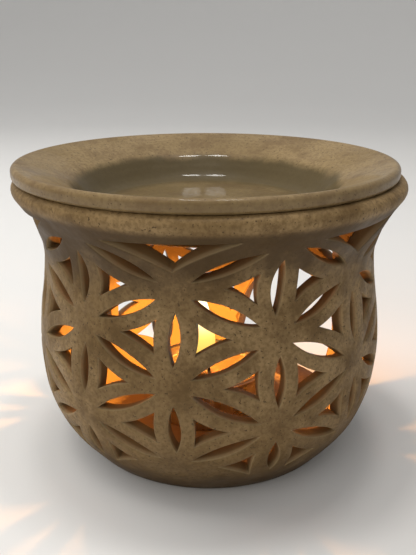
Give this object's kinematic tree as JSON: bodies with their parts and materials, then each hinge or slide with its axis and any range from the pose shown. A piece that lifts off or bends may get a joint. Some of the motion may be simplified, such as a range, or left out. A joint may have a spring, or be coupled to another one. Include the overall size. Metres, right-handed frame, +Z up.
{
  "type": "essential oil burner",
  "caption": "Round stoneware oil burner: a pierced pot with a carved star lattice and a rear doorway, a lift-off flanged oil dish and a tealight candle inside.",
  "frame": {"origin": "middle of the pot's flat base, on the table", "axes": "+Z up, +Y out of the doorway that the tealight goes in through, +X to the right when the doorway is at the back"},
  "size_m": [0.1228, 0.1228, 0.0936],
  "materials": {
    "pot_stoneware": "satin speckled stoneware",
    "dish_glaze": "glossy speckled glaze",
    "cup_foil": "bright pressed foil",
    "wax": "waxy",
    "sustainer_tin": "tinplate",
    "wick_cotton": "charred cotton"
  },
  "bodies": {
    "pot": {"pierced_pot": "pot_stoneware"},
    "dish": {"oil_dish": "dish_glaze"},
    "cup": {"tealight_cup": "cup_foil"},
    "candle": {"candle_wax": "wax", "wick_sustainer": "sustainer_tin", "candle_wick": "wick_cotton"}
  },
  "joints": [
    {"name": "dish_lift", "type": "slide", "parent": "pot", "child": "dish", "axis": [0, 0, 1], "range_m": [0, 0.07]},
    {"name": "tealight_slide", "type": "slide", "parent": "pot", "child": "cup", "axis": [0, 1, 0], "range_m": [0, 0.11]},
    {"name": "candle_lift", "type": "slide", "parent": "cup", "child": "candle", "axis": [0, 0, 1], "range_m": [0, 0.018]}
  ]
}
